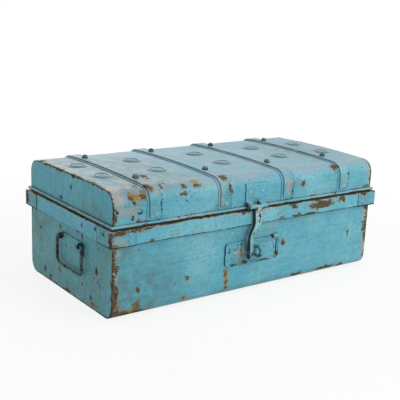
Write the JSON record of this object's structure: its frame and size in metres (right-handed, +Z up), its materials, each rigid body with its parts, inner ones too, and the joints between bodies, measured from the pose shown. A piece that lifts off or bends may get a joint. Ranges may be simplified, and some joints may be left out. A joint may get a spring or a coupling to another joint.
{
  "type": "footlocker",
  "caption": "Sheet-steel footlocker with a crowned hinged lid, ribbed straps, rosettes, a folded collar, a swinging hasp beside a padlock staple, and a bail handle on each end.",
  "frame": {"origin": "middle of the floor patch under the trunk, on the plane it stands on", "axes": "+X along the trunk to its right end, -Y out of the front with the hasp, +Z up"},
  "size_m": [0.7928, 0.4317, 0.292],
  "materials": {
    "body_paint": "worn turquoise paint, chipped to brown rust at the edges",
    "end_paint": "worn turquoise paint with dark chips",
    "lid_paint": "worn, slightly paler turquoise paint",
    "fitting_paint": "brushed-over turquoise paint, dark at its edges",
    "iron": "dark forged iron with brown rust"
  },
  "bodies": {
    "trunk": {"body_wrap": "body_paint", "body_end_left": "end_paint", "body_end_right": "end_paint", "collar_front": "body_paint", "collar_right": "body_paint", "collar_back": "body_paint", "collar_left": "body_paint", "collar_corner_front_left": "body_paint", "collar_corner_front_right": "body_paint", "collar_corner_back_left": "body_paint", "collar_corner_back_right": "body_paint", "collar_corner_rivets": "fitting_paint", "lip_front": "body_paint", "lip_right": "body_paint", "lip_back": "body_paint", "lip_left": "body_paint", "lock_plate": "fitting_paint", "lock_backing": "body_paint", "lock_rivets": "fitting_paint", "padlock_staple": "iron", "handle_left_plate": "fitting_paint", "handle_left_eyes": "iron", "handle_left_rivets": "fitting_paint", "handle_right_plate": "fitting_paint", "handle_right_eyes": "iron", "handle_right_rivets": "fitting_paint", "hinge_left_body_leaf": "fitting_paint", "hinge_left_pin": "iron", "hinge_right_body_leaf": "fitting_paint", "hinge_right_pin": "iron", "hinge_body_rivets": "fitting_paint"},
    "lid": {"lid_wrap": "lid_paint", "lid_end_left": "end_paint", "lid_end_right": "end_paint", "lid_bead_front": "body_paint", "lid_bead_right": "body_paint", "lid_bead_back": "body_paint", "lid_bead_left": "body_paint", "lid_strap_1": "lid_paint", "lid_strap_2": "lid_paint", "lid_strap_3": "lid_paint", "lid_strap_4": "lid_paint", "strap_rivets": "lid_paint", "lid_studs": "lid_paint", "lid_rosettes": "lid_paint", "hasp_leaf": "fitting_paint", "hasp_leaf_rivets": "fitting_paint", "hasp_pin": "iron", "hinge_left_lid_leaf": "fitting_paint", "hinge_right_lid_leaf": "fitting_paint", "hinge_lid_rivets": "fitting_paint"},
    "hasp": {"hasp": "fitting_paint"},
    "handle_left": {"handle_left_bail": "iron"},
    "handle_right": {"handle_right_bail": "iron"}
  },
  "joints": [
    {"name": "lid_hinge", "type": "hinge", "parent": "trunk", "child": "lid", "pos_m": [0, 0.19903, 0.20403], "axis": [-1, 0, 0], "range_deg": [0, 115]},
    {"name": "hasp_hinge", "type": "hinge", "parent": "lid", "child": "hasp", "pos_m": [-0.009, -0.2088, 0.209], "axis": [-1, 0, 0], "range_deg": [0, 170]},
    {"name": "handle_left_swing", "type": "hinge", "parent": "trunk", "child": "handle_left", "pos_m": [-0.3889, -0.019, 0.132], "axis": [0, 1, 0], "range_deg": [0, 170]},
    {"name": "handle_right_swing", "type": "hinge", "parent": "trunk", "child": "handle_right", "pos_m": [0.3889, -0.019, 0.132], "axis": [0, -1, 0], "range_deg": [0, 170]}
  ]
}
